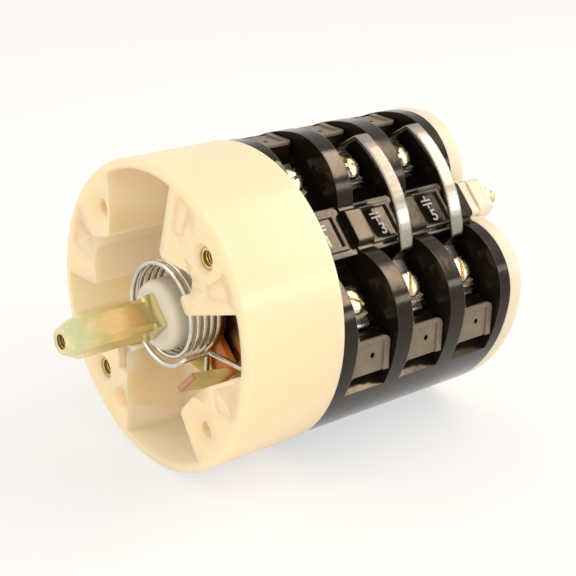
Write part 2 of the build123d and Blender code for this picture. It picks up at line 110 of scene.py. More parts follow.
class Finish(Nodes):
    """A finish under construction: constants sit on the shader, node() adds what varies."""

    def __init__(self, name, colour, **constants):
        self.material = bpy.data.materials.new(name)
        self.material.use_nodes = True
        super().__init__(self.material.node_tree)
        self.shader = self.tree.nodes["Principled BSDF"]
        self.shader.inputs["Base Color"].default_value = (*colour, 1)
        for socket, value in constants.items():
            self.shader.inputs[socket.replace("_", " ")].default_value = value
        self.place = self.node("ShaderNodeTexCoord", out="Object")

    def noise(self, scale, detail=3.0, roughness=0.55, stretch=None):
        where = self.place
        if stretch:
            where = self.node("ShaderNodeMapping", Vector=self.place, Scale=stretch)
        return self.node("ShaderNodeTexNoise", Vector=where, Scale=scale, Detail=detail,
                         Roughness=roughness)

    def axes(self):
        return [self.node("ShaderNodeSeparateXYZ", out=k, Vector=self.place) for k in range(3)]

    def ramp(self, value, stops):
        return self.node("ShaderNodeValToRGB", stops=stops, Fac=value)

    def mix(self, factor, a, b):
        return self.node("ShaderNodeMix", out=2, settings={"data_type": "RGBA"}, i0=factor, i6=a, i7=b)

    def edges(self, radius):
        """0 on flat faces, towards 1 on sharp edges; it sets where edge highlights are painted."""
        soft = self.node("ShaderNodeBevel", settings={"samples": 6}, Radius=radius)
        flat = self.node("ShaderNodeNewGeometry", out="Normal")
        along = self.node("ShaderNodeVectorMath", out=1, settings={"operation": "DOT_PRODUCT"},
                          i0=soft, i1=flat)
        return self.ramp(1.0 - along, [(0.02, 0.0), (0.22, 1.0)])

    def feed(self, socket, value):
        self.tree.links.new(value.socket, self.shader.inputs[socket])

    def relief(self, edge, height, depth=0.02 * mm):
        """Rounds every sharp edge a little, with a fine surface relief on top."""
        soft = self.node("ShaderNodeBevel", settings={"samples": 6}, Radius=edge)
        self.feed("Normal", self.node("ShaderNodeBump", Strength=1.0, Distance=depth, Height=height,
                                      Normal=soft))
        return self.material


def nylon(name, warm, edge=0.45 * mm, clear=0.3):
    """Moulded nylon of a tint; edge is how round its edges are, clear how much light goes in."""
    f = Finish(name, warm, Subsurface_Weight=clear, Subsurface_Scale=6 * mm, IOR=1.46,
               Coat_Weight=0.12, Coat_Roughness=0.12)
    f.shader.inputs["Subsurface Radius"].default_value = (1.0, 0.88, 0.48)
    flow = f.noise(28.0, 4.0, 0.6, (1.0, 0.35, 1.0))
    tone = f.ramp(flow, [(0.3, tuple(0.95 * c for c in warm)), (0.7, warm)])
    speck = f.ramp(f.noise(900.0, 2.0, 0.5), [(0.66, 0.0), (0.76, 0.18)])
    shade = tuple(0.66 * c for c in warm)
    f.feed("Base Color", f.mix(speck, tone, (*shade, 1)))
    f.feed("Roughness", 0.30 + 0.14 * f.noise(120.0, 3.0))
    return f.relief(edge, 0.5 * f.noise(220.0, 3.0) + 0.5 * flow, 0.06 * mm)


def dress(material, *names):
    for name in names:
        nodes[name].data.materials.clear()
        nodes[name].data.materials.append(material)


ivory = nylon("ivory_nylon", (0.93, 0.74, 0.495), clear=0.55)
dress(ivory, "front_housing")


# Brass bushes
# Two tapped bushes of turned brass, moulded into the corner blocks behind two panel holes.
# The thread is a wound ridge on the bore, so it shows as one running line.
def metal(name, stops, rough, brush=(1.0, 0.12, 1.0)):
    """Metal with cloudy tints and a fine grain; brush stretches the grain along Y."""
    f = Finish(name, stops[0][1], Metallic=1.0)
    cloud = f.noise(90.0, 4.0, 0.62)
    grain = f.noise(700.0, 3.0, 0.6, brush)
    f.feed("Base Color", f.ramp(0.65 * cloud + 0.35 * grain, stops))
    f.feed("Roughness", rough + 0.2 * grain)
    return f.relief(0.25 * mm, grain)


class Recipe(Nodes):
    """A Geometry Nodes tree with named inputs for the sizes of a piece."""

    def __init__(self, name, **sizes):
        super().__init__(bpy.data.node_groups.new(name, "GeometryNodeTree"))
        face = self.tree.interface
        face.new_socket("Geometry", in_out="OUTPUT", socket_type="NodeSocketGeometry")
        face.new_socket("Geometry", in_out="INPUT", socket_type="NodeSocketGeometry")
        self.keys = {}
        for key, kind in {**sizes, "Material": "Material"}.items():
            socket = face.new_socket(key, in_out="INPUT", socket_type="NodeSocket" + kind)
            self.keys[key] = socket.identifier
        self.given = self.tree.nodes.new("NodeGroupInput")

    def size(self, name):
        return Sum(self.tree, self.given.outputs[name])

    def close(self, geometry):
        real = self.node("GeometryNodeRealizeInstances", Geometry=geometry)
        smooth = self.node("GeometryNodeSetShadeSmooth", i0=real, i2=True)
        done = self.node("GeometryNodeSetMaterial", Geometry=smooth, Material=self.size("Material"))
        self.tree.links.new(done.socket, self.tree.nodes.new("NodeGroupOutput").inputs[0])

    def make(self, start, place=Matrix(), **sizes):
        """Runs the recipe on a start shape and returns the plain mesh, put in its place."""
        bpy.context.scene.collection.objects.link(start)
        step = start.modifiers.new("recipe", "NODES")
        step.node_group = self.tree
        for key, value in sizes.items():
            step[self.keys[key]] = value
        graph = bpy.context.evaluated_depsgraph_get()
        mesh = bpy.data.meshes.new_from_object(start.evaluated_get(graph), depsgraph=graph)
        start.modifiers.remove(step)
        bpy.data.objects.remove(start)
        mesh.transform(place)
        return mesh


def piece(name, meshes, body, replaced=()):
    """Joins meshes into one object at the origin that rides on a body."""
    work = bmesh.new()
    materials = []
    for mesh in meshes:
        old = len(work.faces)
        work.from_mesh(mesh)
        for m in mesh.materials:
            if m not in materials:
                materials.append(m)
        work.faces.ensure_lookup_table()
        for face in work.faces[old:]:
            face.material_index = materials.index(mesh.materials[0])
    joined = bpy.data.meshes.new(name)
    work.to_mesh(joined)
    work.free()
    for m in materials:
        joined.materials.append(m)
    ob = bpy.data.objects.new(name, joined)
    bpy.context.scene.collection.objects.link(ob)
    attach(ob, body)
    if replaced:
        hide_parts(*replaced)
    return ob


thread = Recipe("thread", Radius="Float", Pitch="Float", Turns="Float", Ridge="Float")
wound = thread.node("GeometryNodeCurveSpiral", Resolution=28, Rotations=thread.size("Turns"),
                    Start_Radius=thread.size("Radius"), End_Radius=thread.size("Radius"),
                    Height=thread.size("Turns") * thread.size("Pitch"))
flank = thread.node("GeometryNodeCurvePrimitiveCircle", Resolution=4, Radius=thread.size("Ridge"))
thread.close(thread.node("GeometryNodeCurveToMesh", Curve=wound, Profile_Curve=flank, Fill_Caps=True))


def threading(at, radius, pitch, length, material, ridge=0.24 * mm):
    """A wound ridge along +Y from a point, with all its sizes in metres."""
    start = bpy.data.objects.new("thread", bpy.data.meshes.new("thread"))
    lay = Matrix.Translation(at) @ Matrix.Rotation(math.radians(-90), 4, "X")
    return thread.make(start, lay, Radius=radius, Pitch=pitch, Turns=length / pitch,
                       Ridge=ridge, Material=material)


brass = metal("brass", [(0.3, (0.72, 0.52, 0.20)), (0.7, (0.86, 0.68, 0.32))], 0.22)
dress(brass, "mount_inserts")
hole_at = 24.0
bush_mouth, bush_end = 2.4 * mm, 8.4 * mm
tapped_r, tapped_pitch = 2.1 * mm, 0.8 * mm
bush_threads = []
for s in (1, -1):
    mouth = (s * hole_at * mm, bush_mouth, s * hole_at * mm)
    bush_threads.append(threading(mouth, tapped_r, tapped_pitch, bush_end - bush_mouth, brass))
piece("bush_threads", bush_threads, "base")


# Fixed plate and its ear
# A pressed steel ring on the housing floor, plated with zinc and passivated yellow. It is tinted dark
# brown round the bearing, fully out to 0.62 of the brown's reach and not past 0.84 of it.
zinc_tints = [(0.32, (0.62, 0.52, 0.22)), (0.44, (0.88, 0.78, 0.44)), (0.53, (0.66, 0.66, 0.36)),
              (0.62, (0.88, 0.74, 0.46)), (0.76, (0.74, 0.62, 0.28))]
brown_reach, brown_wander = 25.0 * mm, 3.0 * mm
centre_brown = (0.10, 0.055, 0.03, 1)


def zinc_plating(name, patches=None, rough=0.2):
    """Yellow chromate over zinc: gold with green and pink patches; patches() adds further tints."""
    f = Finish(name, (0.75, 0.68, 0.38), Metallic=1.0)
    cloud = f.noise(48.0, 4.0, 0.55)
    grain = f.noise(800.0, 3.0, 0.6, (1.0, 0.1, 1.0))
    tone = f.ramp(0.86 * cloud + 0.14 * grain, zinc_tints)
    if patches:
        tone = patches(f, tone)
    f.feed("Base Color", tone)
    f.feed("Roughness", rough + 0.22 * grain)
    return f.relief(0.25 * mm, grain)


# Darker brown towards the middle of the plate, round the bearing.
def browner_centre(f, tone):
    x, _, z = f.axes()
    far = f.node("ShaderNodeVectorMath", out=1, settings={"operation": "LENGTH"},
                 i0=f.node("ShaderNodeCombineXYZ", X=x, Y=0.0, Z=z))
    ring = f.ramp((far + brown_wander * f.noise(160.0)) * (1 / brown_reach), [(0.62, 1.0), (0.84, 0.0)])
    return f.mix(ring, tone, centre_brown)


dress(zinc_plating("fixed_plate_zinc", browner_centre), "stop_plate")


# Shaft
# Square steel bar, 9.5 mm across the flats, zinc plated and passivated yellow. Its turned
# outer end is drilled and tapped for the screw that holds a knob.
def browned(f, tone):
    """The inside of the tapped hole, tinted darker brown."""
    return f.mix(0.7, tone, (0.30, 0.17, 0.09, 1))


dress(zinc_plating("shaft_zinc", rough=0.1), "shaft")
tap_start, tap_length = -26.6 * mm, 14.0 * mm
core_zinc = zinc_plating("tapped_core", browned, 0.3)
shaft_thread = threading((0, tap_start, 0), tapped_r, tapped_pitch, tap_length, core_zinc)
piece("shaft_thread", [shaft_thread], "rotor")


# Hub, cams and plungers
# Moulded in greyish nylon, less clear than the housing and rounder at its edges. The hub in
# the spring and the three cams are pushed on the shaft; the plungers slide in the stages.
grey_nylon = nylon("grey_nylon", (0.70, 0.66, 0.56), 1.2 * mm, 0.15)
dress(grey_nylon, "shaft_hub", "cam_1", "cam_2", "cam_3", "plungers")


# Return lever
# A pressed steel plate on the square, with one finger bent forward. Its zinc chromate has
# turned orange on the plate and reddish on the sawn end of the finger.
plate_from, finger_to = 12.6 * mm, 3.4 * mm
plate_fade, finger_fade = 500.0, 900.0
orange, reddish = (0.56, 0.19, 0.06, 1), (0.60, 0.30, 0.19, 1)


def heat_tints(f, tone):
    y = f.axes()[1]
    wander = 1.2 * mm * f.noise(260.0)
    plate = f.ramp((y + wander - plate_from) * plate_fade, [(0.0, 0.0), (0.9, 1.0)])
    tip = f.ramp((finger_to - y - wander) * finger_fade, [(0.0, 0.0), (0.7, 1.0)])
    return f.mix(tip, f.mix(plate, tone, orange), reddish)


dress(zinc_plating("lever_zinc", heat_tints, 0.26), "return_lever")


# Return spring
# Bright nickel-plated wire, 1.5 mm thick, in five open turns round the hub. The front end
# crosses under the turns as a bar; both ends turn outward on either side of the finger.
tilt = Matrix.Rotation(math.radians(-45), 4, "Y")
wire_r, coil_r = 0.75, 13.15
coil_x, coil_z = 1.24, 0.81
coil_front, coil_rear = 3.0, 13.3
whole_turns, lead_in_turn = 5, 110.0
bar_angle, rear_angle = -87.0, -98.0
bar_gap, bar_forward = 0.85, 0.1
bar_r = coil_r + 2 * wire_r + bar_gap
front_bend, rear_bend = 1.0, 1.6
lead_in_steps, winding_steps, wire_sides = 15, 240, 18


def on_coil(angle, radius, y):
    a = math.radians(angle)
    return Vector((coil_x + radius * math.cos(a), y, coil_z + radius * math.sin(a)))


def rounded(points, radius, steps=6):
    """The same path with its corners rounded, as a wire bends round a pin."""
    out = [points[0]]
    for before, corner, after in zip(points, points[1:], points[2:]):
        a = (before - corner).normalized()
        b = (after - corner).normalized()
        half = math.acos(max(-1.0, min(1.0, a.dot(b)))) / 2
        reach = radius / math.tan(half)
        centre = corner + (a + b).normalized() * (radius / math.sin(half))
        start, end = corner + a * reach, corner + b * reach
        for k in range(steps + 1):
            spoke = (start - centre).slerp(end - centre, k / steps)
            out.append(centre + spoke)
    out.append(points[-1])
    return out


lead_in = []
for k in range(lead_in_steps + 1):
    share = k / lead_in_steps
    ease = share * share * (3 - 2 * share)
    angle = bar_angle - lead_in_turn * (1 - share)
    lead_in.append(on_coil(angle, coil_r + (bar_r - coil_r) * ease, coil_front - bar_forward * ease))
bar_top = lead_in[-1]
front_knee = Vector((bar_top.x + 0.2, coil_rear - 1.9, bar_top.z))
front_end = Vector((12.2, coil_rear - 1.5, -24.2))
front_leg = rounded([lead_in[-2], bar_top, front_knee, front_end], front_bend)

around = 360 * whole_turns + bar_angle - rear_angle - lead_in_turn
winding = []
for k in range(winding_steps + 1):
    share = k / winding_steps
    y = coil_front + (coil_rear - coil_front) * share
    winding.append(on_coil(bar_angle - lead_in_turn - around * share, coil_r, y))
coil_end = winding[-1]
rear_knee = coil_end + Vector((-1.7, -0.1, -0.9))
rear_end = Vector((-11.2, coil_rear - 0.7, -23.4))
rear_leg = rounded([coil_end, rear_knee, rear_end], rear_bend)
wire_path = front_leg[::-1] + lead_in[::-1][2:] + winding[1:] + rear_leg[1:]

spring_recipe = Recipe("spring_wire", Wire_Radius="Float", Sides="Int")
section = spring_recipe.node("GeometryNodeCurvePrimitiveCircle", Resolution=spring_recipe.size("Sides"),
                             Radius=spring_recipe.size("Wire_Radius"))
spring_recipe.close(spring_recipe.node("GeometryNodeCurveToMesh", Curve=spring_recipe.size("Geometry"),
                                       Profile_Curve=section, Fill_Caps=True))
line = bpy.data.curves.new("spring_line", "CURVE")
line.dimensions = "3D"
spline = line.splines.new("POLY")
spline.points.add(len(wire_path) - 1)
for point, p in zip(spline.points, wire_path):
    point.co = (*(tilt @ (p * mm)), 1)
spring_steel = metal("spring_steel", [(0.3, (0.52, 0.49, 0.42)), (0.7, (0.84, 0.82, 0.75))], 0.1,
                     brush=(1.0, 1.0, 1.0))
turns = spring_recipe.make(bpy.data.objects.new("spring_line", line), Wire_Radius=wire_r * mm,
                           Sides=wire_sides, Material=spring_steel)
piece("spring_wire", [turns], "base", ["return_spring"])


# Countersinks
# The four panel holes open into cones of 90 degrees for flush screws, formed by the mould in
# the face of each corner block. They are cut here into a joined copy of the housing.
def turned(name, profile, segments, material, outline=None):
    """Turns a profile of (x, radius) about X; outline(angle, radius) may flatten it."""
    work = bmesh.new()
    rings = []
    for x, radius in profile:
        ring = []
        for k in range(segments):
            a = 2 * math.pi * k / segments
            r = outline(a, radius) if outline else radius
            ring.append(work.verts.new((x, r * math.cos(a), r * math.sin(a))))
        rings.append(ring)
    for low, high in zip(rings, rings[1:]):
        for k in range(segments):
            n = (k + 1) % segments
            work.faces.new((low[k], low[n], high[n], high[k]))
    work.faces.new(rings[0][::-1])
    work.faces.new(rings[-1])
    bmesh.ops.recalc_face_normals(work, faces=work.faces)
    mesh = bpy.data.meshes.new(name)
    work.to_mesh(mesh)
    work.free()
    mesh.materials.append(material)
    return mesh


def carve(mesh, cutter):
    """Takes one mesh out of another."""
    solid = bpy.data.objects.new("solid", mesh)
    tool = bpy.data.objects.new("tool", cutter)
    for ob in (solid, tool):
        bpy.context.scene.collection.objects.link(ob)
    cut = solid.modifiers.new("cut", "BOOLEAN")
    cut.operation = "DIFFERENCE"
    cut.object = tool
    graph = bpy.context.evaluated_depsgraph_get()
    done = bpy.data.meshes.new_from_object(solid.evaluated_get(graph), depsgraph=graph)
    bpy.data.objects.remove(solid)
    bpy.data.objects.remove(tool)
    return done


def joined_copy(name):
    """The mesh of a node with its loose triangles joined."""
    work = bmesh.new()
    work.from_mesh(nodes[name].data)
    bmesh.ops.remove_doubles(work, verts=work.verts, dist=0.001 * mm)
    mesh = bpy.data.meshes.new(name + "_joined")
    work.to_mesh(mesh)
    work.free()
    mesh.materials.append(nodes[name].data.materials[0])
    return mesh


sink_wide, sink_narrow, sink_deep, overrun = 4.3, 2.41, 1.9, 1.0
flare = sink_wide + overrun * (sink_wide - sink_narrow) / sink_deep
into_face = Matrix.Rotation(math.radians(90), 4, "Z")
moulded = joined_copy("front_housing")
for sx in (1, -1):
    for sz in (1, -1):
        cone = turned("cone", [(-overrun, flare), (sink_deep, sink_narrow)], 48, ivory)
        stand = Matrix.Translation((sx * hole_at, 0, sz * hole_at)) @ into_face
        cone.transform(Matrix.Scale(mm, 4) @ stand)
        moulded = carve(moulded, cone)
moulded.shade_smooth()
moulded.set_sharp_from_angle(angle=math.radians(32))
piece("countersunk_housing", [moulded], "base", ["front_housing"])


# Contact stages, end cover and bush
# Pressed in black phenolic resin, which keeps a hard gloss and faint flow marks. Its edges are painted
# paler as a painted highlight. The panels of the guard boxes are matt, and painted paler as a painted
# reflection.
stages_start, stage_pitch, stage_r = 31.5, 20.0, 42.5
stage_front = [stages_start + k * stage_pitch for k in range(3)]
box_face, box_half, box_from = 39.3, 13.6, 5.9


def phenolic(name):
    f = Finish(name, (0.009, 0.008, 0.007), IOR=1.40, Specular_IOR_Level=0.36)
    f.shader.inputs["Specular Tint"].default_value = (1.0, 0.80, 0.62, 1)
    cloud = f.noise(60.0, 4.0, 0.6)
    x, y, z = f.axes()
    wide = f.node("ShaderNodeMath", settings={"operation": "MAXIMUM"}, i0=abs(x), i1=abs(z))
    slim = f.node("ShaderNodeMath", settings={"operation": "MINIMUM"}, i0=abs(x), i1=abs(z))
    along = (y - stages_start * mm) % (stage_pitch * mm)
    panel = (wide > box_face * mm) * (slim < box_half * mm) * (along > box_from * mm)
    resin = f.ramp(cloud, [(0.3, (0.009, 0.006, 0.004)), (0.75, (0.017, 0.012, 0.008))])
    # The paler, mottled panel colour is a painted reflection on the guard box faces.
    painted_sheen = f.ramp(f.noise(240.0, 5.0, 0.7), [(0.3, (0.16, 0.13, 0.10)), (0.7, (0.23, 0.185, 0.14))])
    tone = f.mix(panel, resin, painted_sheen)
    # The paler edge colour is a painted highlight along the edges.
    f.feed("Base Color", f.mix(0.3 * f.edges(0.4 * mm), tone, (0.34, 0.29, 0.23, 1)))
    f.feed("Roughness", 0.08 + 0.14 * f.noise(150.0, 3.0) + 0.3 * panel)
    return f.relief(0.4 * mm, f.noise(420.0, 2.0), 0.03 * mm)


black = phenolic("black_phenolic")
dress(black, "stage_1", "stage_2", "stage_3", "end_cover", "shaft_bush")


# Marks in the windows
# Each window over a tie rod has a contact sign and a plain number, moulded a little proud of
# the pane and coated with pale paint, which has worn away in spots.
def paint(name, colour):
    f = Finish(name, colour)
    worn = f.noise(500.0, 4.0, 0.7)
    f.feed("Base Color", f.ramp(worn, [(0.32, tuple(0.45 * c for c in colour)), (0.5, colour)]))
    f.feed("Roughness", 0.5 + 0.2 * worn)
    return f.relief(0.05 * mm, worn, 0.01 * mm)


def plate_mesh(name, boxes, material):
    """Thin blocks given by their limits, in millimetres of the stage's own frame."""
    work = bmesh.new()
    for x0, x1, y0, y1, z0, z1 in boxes:
        done = bmesh.ops.create_cube(work, size=1.0)
        place = Matrix.Translation(((x0 + x1) / 2, (y0 + y1) / 2, (z0 + z1) / 2))
        grow = Matrix.Diagonal((x1 - x0, y1 - y0, z1 - z0, 1))
        bmesh.ops.transform(work, matrix=place @ grow, verts=done["verts"])
    mesh = bpy.data.meshes.new(name)
    work.to_mesh(mesh)
    work.free()
    mesh.materials.append(material)
    return mesh


def number_mesh(text, size, material):
    label = bpy.data.curves.new("number", "FONT")
    label.body = text
    label.size = size
    label.extrude = 0.04
    label.offset = 0.1
    label.align_x = label.align_y = "CENTER"
    holder = bpy.data.objects.new("number", label)
    bpy.context.scene.collection.objects.link(holder)
    graph = bpy.context.evaluated_depsgraph_get()
    mesh = bpy.data.meshes.new_from_object(holder.evaluated_get(graph), depsgraph=graph)
    bpy.data.objects.remove(holder)
    mesh.materials.clear()
    mesh.materials.append(material)
    return mesh


def at_window(mesh, far_side):
    """Takes a mesh from the stage's own frame to one of the stage's two windows."""
    mesh.transform(Matrix.Rotation(math.pi * far_side, 4, "Y"))
    mesh.transform(tilt @ Matrix.Scale(mm, 4))
    return mesh


pale_paint = paint("pale_paint", (0.78, 0.75, 0.70))
window_depth, pane_depth = 12.9, 0.7
window_x = stage_r - window_depth
pane_x = window_x - pane_depth
marks_y, paint_in, paint_out = 11.4, 0.1, 0.07
lead_half, contact_half = 0.27, 1.8
strokes = [(lead_half, 3.0, 4.3), (contact_half, 2.6, 3.1),
           (contact_half, 1.4, 1.9), (lead_half, 0.2, 1.5)]
number_size, number_out, number_rear, number_z = 4.9, 0.02, 0.6, -2.1
upright = Matrix(((0, 0, 1, 0), (1, 0, 0, 0), (0, 1, 0, 0), (0, 0, 0, 1)))
marks = []
for k, y0 in enumerate(stage_front):
    for far_side in (0, 1):
        y = y0 + marks_y
        sign = [(pane_x - paint_in, pane_x + paint_out, y - half, y + half, z0, z1)
                for half, z0, z1 in strokes]
        marks.append(at_window(plate_mesh("sign", sign, pale_paint), far_side))
        number = number_mesh(str(2 * k + 1 + far_side), number_size, pale_paint)
        number.transform(Matrix.Translation((pane_x + number_out, y + number_rear, number_z)) @ upright)
        marks.append(at_window(number, far_side))
piece("window_marks", marks, "base")


# Window frames
# A pale line follows three sides of each window's raised rim, and one more runs along the deck on
# either side of it. They are low grey ridges, painted highlights where these edges catch the light.
# Grey on the rails: painted highlights along the window edges.
rail_highlight = paint("rail_grey", (0.22, 0.20, 0.175))
rim_front, rim_rear, rim_half = 6.0, 17.2, 5.65
rail_top, rail_t = window_x + 0.06, 0.3
rail_in, rail_out = 0.25, 0.65
deck_top = rail_top - 0.8
deck_front, deck_rear, deck_in, deck_out = rim_front - 0.3, rim_rear + 0.5, 6.6, 7.2
rails = []
for y0 in stage_front:
    for far_side in (0, 1):
        front, rear = y0 + rim_front + rail_in, y0 + rim_rear - rail_in
        on_rim = (rail_top - rail_t, rail_top)
        on_deck = (deck_top - rail_t, deck_top, y0 + deck_front, y0 + deck_rear)
        lines = [(*on_rim, front, rear, rim_half - rail_out, rim_half - rail_in),
                 (*on_rim, front, rear, rail_in - rim_half, rail_out - rim_half),
                 (*on_rim, y0 + rim_rear - rail_out, rear, rail_out - rim_half, rim_half - rail_out),
                 (*on_deck, deck_in, deck_out),
                 (*on_deck, -deck_out, -deck_in)]
        rails.append(at_window(plate_mesh("rails", lines, rail_highlight), far_side))
rims = piece("window_rails", rails, "base")
soft = rims.modifiers.new("soft_edges", "BEVEL")
soft.width = 0.1 * mm
soft.segments = 2


# Contact strips, straps, bridges and their springs
# Punched from copper strip, bent and plated with nickel, with silver tips on the bridges. The
# bowed straps are clamped by the terminal screws. The leaf springs are of bright steel.
nickel = metal("nickel_strip", [(0.3, (0.52, 0.48, 0.41)), (0.7, (0.70, 0.66, 0.58))], 0.14)
dress(nickel, "terminals_1", "terminals_2", "terminals_3", "bridges")
# The straps' nickel is painted darker than the terminals' nickel: painted shade in its reflection.
strap_shaded_tints = [(0.3, (0.27, 0.24, 0.195)), (0.7, (0.38, 0.345, 0.29))]
strap_lean = 0.11


def strap_nickel():
    """Nickel strip painted darker than the other nickel, as painted shade in its reflection; its face
    leans a little to the front, as it was bent by hand.
    """
    f = Finish("strap_nickel", (0.42, 0.38, 0.33), Metallic=1.0)
    cloud = f.noise(90.0, 4.0, 0.62)
    grain = f.noise(700.0, 3.0, 0.6, (1.0, 0.12, 1.0))
    f.feed("Base Color", f.ramp(0.65 * cloud + 0.35 * grain, strap_shaded_tints))
    f.feed("Roughness", 0.20 + 0.12 * grain)
    y = f.axes()[1]
    return f.relief(0.9 * mm, strap_lean / mm * y + 0.004 * grain, 1 * mm)


dress(strap_nickel(), "strap_2", "strap_3")
dress(spring_steel, "bridge_springs")


# Clamp washers and terminal screws
# Square clamp plates with serrated, turned-up edges under slotted pan heads, all zinc
# plated. One of each is made and set at the twelve terminals, with the slots as they stopped.
screw_tints = [(0.3, (0.34, 0.26, 0.15)), (0.5, (0.74, 0.63, 0.43)), (0.7, (0.54, 0.43, 0.27))]
screw_zinc = metal("screw_zinc", screw_tints, 0.16, brush=(1.0, 1.0, 1.0))
washer_zinc = metal("washer_zinc", [(0.3, (0.50, 0.40, 0.22)), (0.7, (0.72, 0.60, 0.38))], 0.2)
head_r, head_t, shank_r = 3.9, 2.9, 2.0
slot_deep, slot_half, slot_reach = 1.25, 0.55, 5.0
head_profile = [(-8.2, 1.2), (-7.6, shank_r), (0.0, shank_r), (0.0, 3.55), (0.18, 3.8), (0.5, head_r),
                (1.1, head_r), (1.7, 3.78), (2.2, 3.45), (2.6, 2.8), (2.82, 1.9), (head_t, 0.5)]
slot_box = (head_t - slot_deep, head_t + overrun, -slot_reach, slot_reach, -slot_half, slot_half)
one_screw = turned("one_screw", head_profile, 40, screw_zinc)
one_screw = carve(one_screw, plate_mesh("slot", [slot_box], screw_zinc))

washer_half, washer_t, washer_bore = 4.0, 1.1, shank_r + 0.05
teeth, tooth_deep = 7, 0.45
lip_wide, lip_up = 0.6, 0.55
work = bmesh.new()
corners = []
for side in range(4):
    cos_a, sin_a = math.cos(math.radians(90 * side)), math.sin(math.radians(90 * side))
    for k in range(2 * teeth):
        along = -washer_half + k * washer_half / teeth
        out = washer_half - (tooth_deep if (k % 2 and side % 2 == 0) else 0.0)
        corners.append((cos_a * out - sin_a * along, cos_a * along + sin_a * out))
plate_face = work.faces.new([work.verts.new((0, z, y)) for y, z in corners])
grown = bmesh.ops.extrude_face_region(work, geom=[plate_face])
for v in [g for g in grown["geom"] if isinstance(g, bmesh.types.BMVert)]:
    v.co.x += washer_t
    if abs(v.co.z) > washer_half - lip_wide:
        v.co.x += lip_up
bmesh.ops.recalc_face_normals(work, faces=work.faces)
one_washer = bpy.data.meshes.new("one_washer")
work.to_mesh(one_washer)
work.free()
one_washer.materials.append(washer_zinc)
bore_line = [(-overrun, washer_bore), (washer_t + lip_up + overrun, washer_bore)]
one_washer = carve(one_washer, turned("bore", bore_line, 32, washer_zinc))

setting = Recipe("set_at_points", Original="Object")
shape = setting.node("GeometryNodeObjectInfo", out="Geometry", Object=setting.size("Original"))
facing = setting.node("GeometryNodeInputNamedAttribute", settings={"data_type": "FLOAT_VECTOR"},
                      Name="facing")
setting.close(setting.node("GeometryNodeInstanceOnPoints", Points=setting.size("Geometry"),
                           Instance=shape, Rotation=facing))


def set_at(original, places, material):
    """Puts a shape at each place, given as a matrix, and returns one plain mesh."""
    points = bpy.data.meshes.new("places")
    points.from_pydata([m.to_translation() for m in places], [], [])
    turns_of = points.attributes.new("facing", "FLOAT_VECTOR", "POINT")
    for item, m in zip(turns_of.data, places):
        item.vector = m.to_euler("XYZ")
    original.transform(Matrix.Scale(mm, 4))
    model = bpy.data.objects.new("original", original)
    bpy.context.scene.collection.objects.link(model)
    mesh = setting.make(bpy.data.objects.new("places", points), Original=model, Material=material)
    bpy.data.objects.remove(model)
    return mesh


shelf_x, terminal_t, strap_t = stage_r - 20.9, 1.6, 1.1
screw_y, screw_z = 12.5, 19.0
slot_turns = [12, -35, 78, 40, -8, 63, 95, -50, 22, 70, -20, 48]
washer_places, screw_places = [], []
for k, y0 in enumerate(stage_front):
    for sx in (1, -1):
        whole_turn = tilt @ Matrix.Rotation(0 if sx > 0 else math.pi, 4, "Y")
        level = shelf_x + terminal_t + (strap_t if (k > 0 and sx > 0) else 0.0)
        for sz in (1, -1):
            seat = Vector((level, y0 + screw_y, sz * sx * screw_z)) * mm
            head = Vector((level + washer_t, y0 + screw_y, sz * sx * screw_z)) * mm
            spin = Matrix.Rotation(math.radians(slot_turns[len(screw_places)]), 4, "X")
            washer_places.append(whole_turn @ Matrix.Translation(seat))
            screw_places.append(whole_turn @ Matrix.Translation(head) @ spin)
clamps = piece("serrated_washers", [set_at(one_washer, washer_places, washer_zinc)], "base",
               ["clamp_washers"])
heads = piece("pan_screws", [set_at(one_screw, screw_places, screw_zinc)], "base",
              ["terminal_screws"])
for ob in (clamps, heads):
    ob.data.set_sharp_from_angle(angle=math.radians(38))


# Rear plate
# Moulded in cream nylon, paler than the housing, with a raised boss at each tie rod. The rods
# clamp it against the end cover.
dress(nylon("cream_nylon", (0.78, 0.68, 0.54)), "rear_plate")


# Tie rods, square washers and nuts
# Two threaded steel rods hold the stack, with a square washer and a nut on each at the rear.
# The washers and nuts are zinc plated with a greenish chromate, and the rod ends are yellow.
def green_film(f, tone):
    film = f.ramp(f.noise(320.0, 4.0), [(0.35, (0.26, 0.46, 0.27)), (0.65, (0.56, 0.66, 0.40))])
    return f.mix(0.55, tone, film)


def yellow_film(f, tone):
    return f.mix(0.5, tone, (0.86, 0.62, 0.16, 1))


green_zinc = zinc_plating("green_zinc", green_film)
rod_zinc = zinc_plating("rod_zinc", yellow_film)
dress(green_zinc, "tie_washers")
dress(rod_zinc, "tie_rods")
rod_x, boss_y, rod_reach, rod_tip = stage_r - 16.2, 103.5, 6.8, 0.4
rod_r, rod_pitch, rod_ridge = 1.93 * mm, 0.7 * mm, 0.2 * mm
tie_washer_t, nut_t, nut_half, nut_chamfer = 0.9, 3.2, 3.5, 0.35
nut_mouth, nut_hole, nut_face, nut_corner = 2.15, 1.95, 3.55, 4.1
flats_from = 2.6


def six_sided(a, radius):
    """Cuts what lies outside the bore to six flats."""
    flat = nut_half / math.cos((a + math.pi / 6) % (math.pi / 3) - math.pi / 6)
    return min(radius, flat) if radius > flats_from else radius


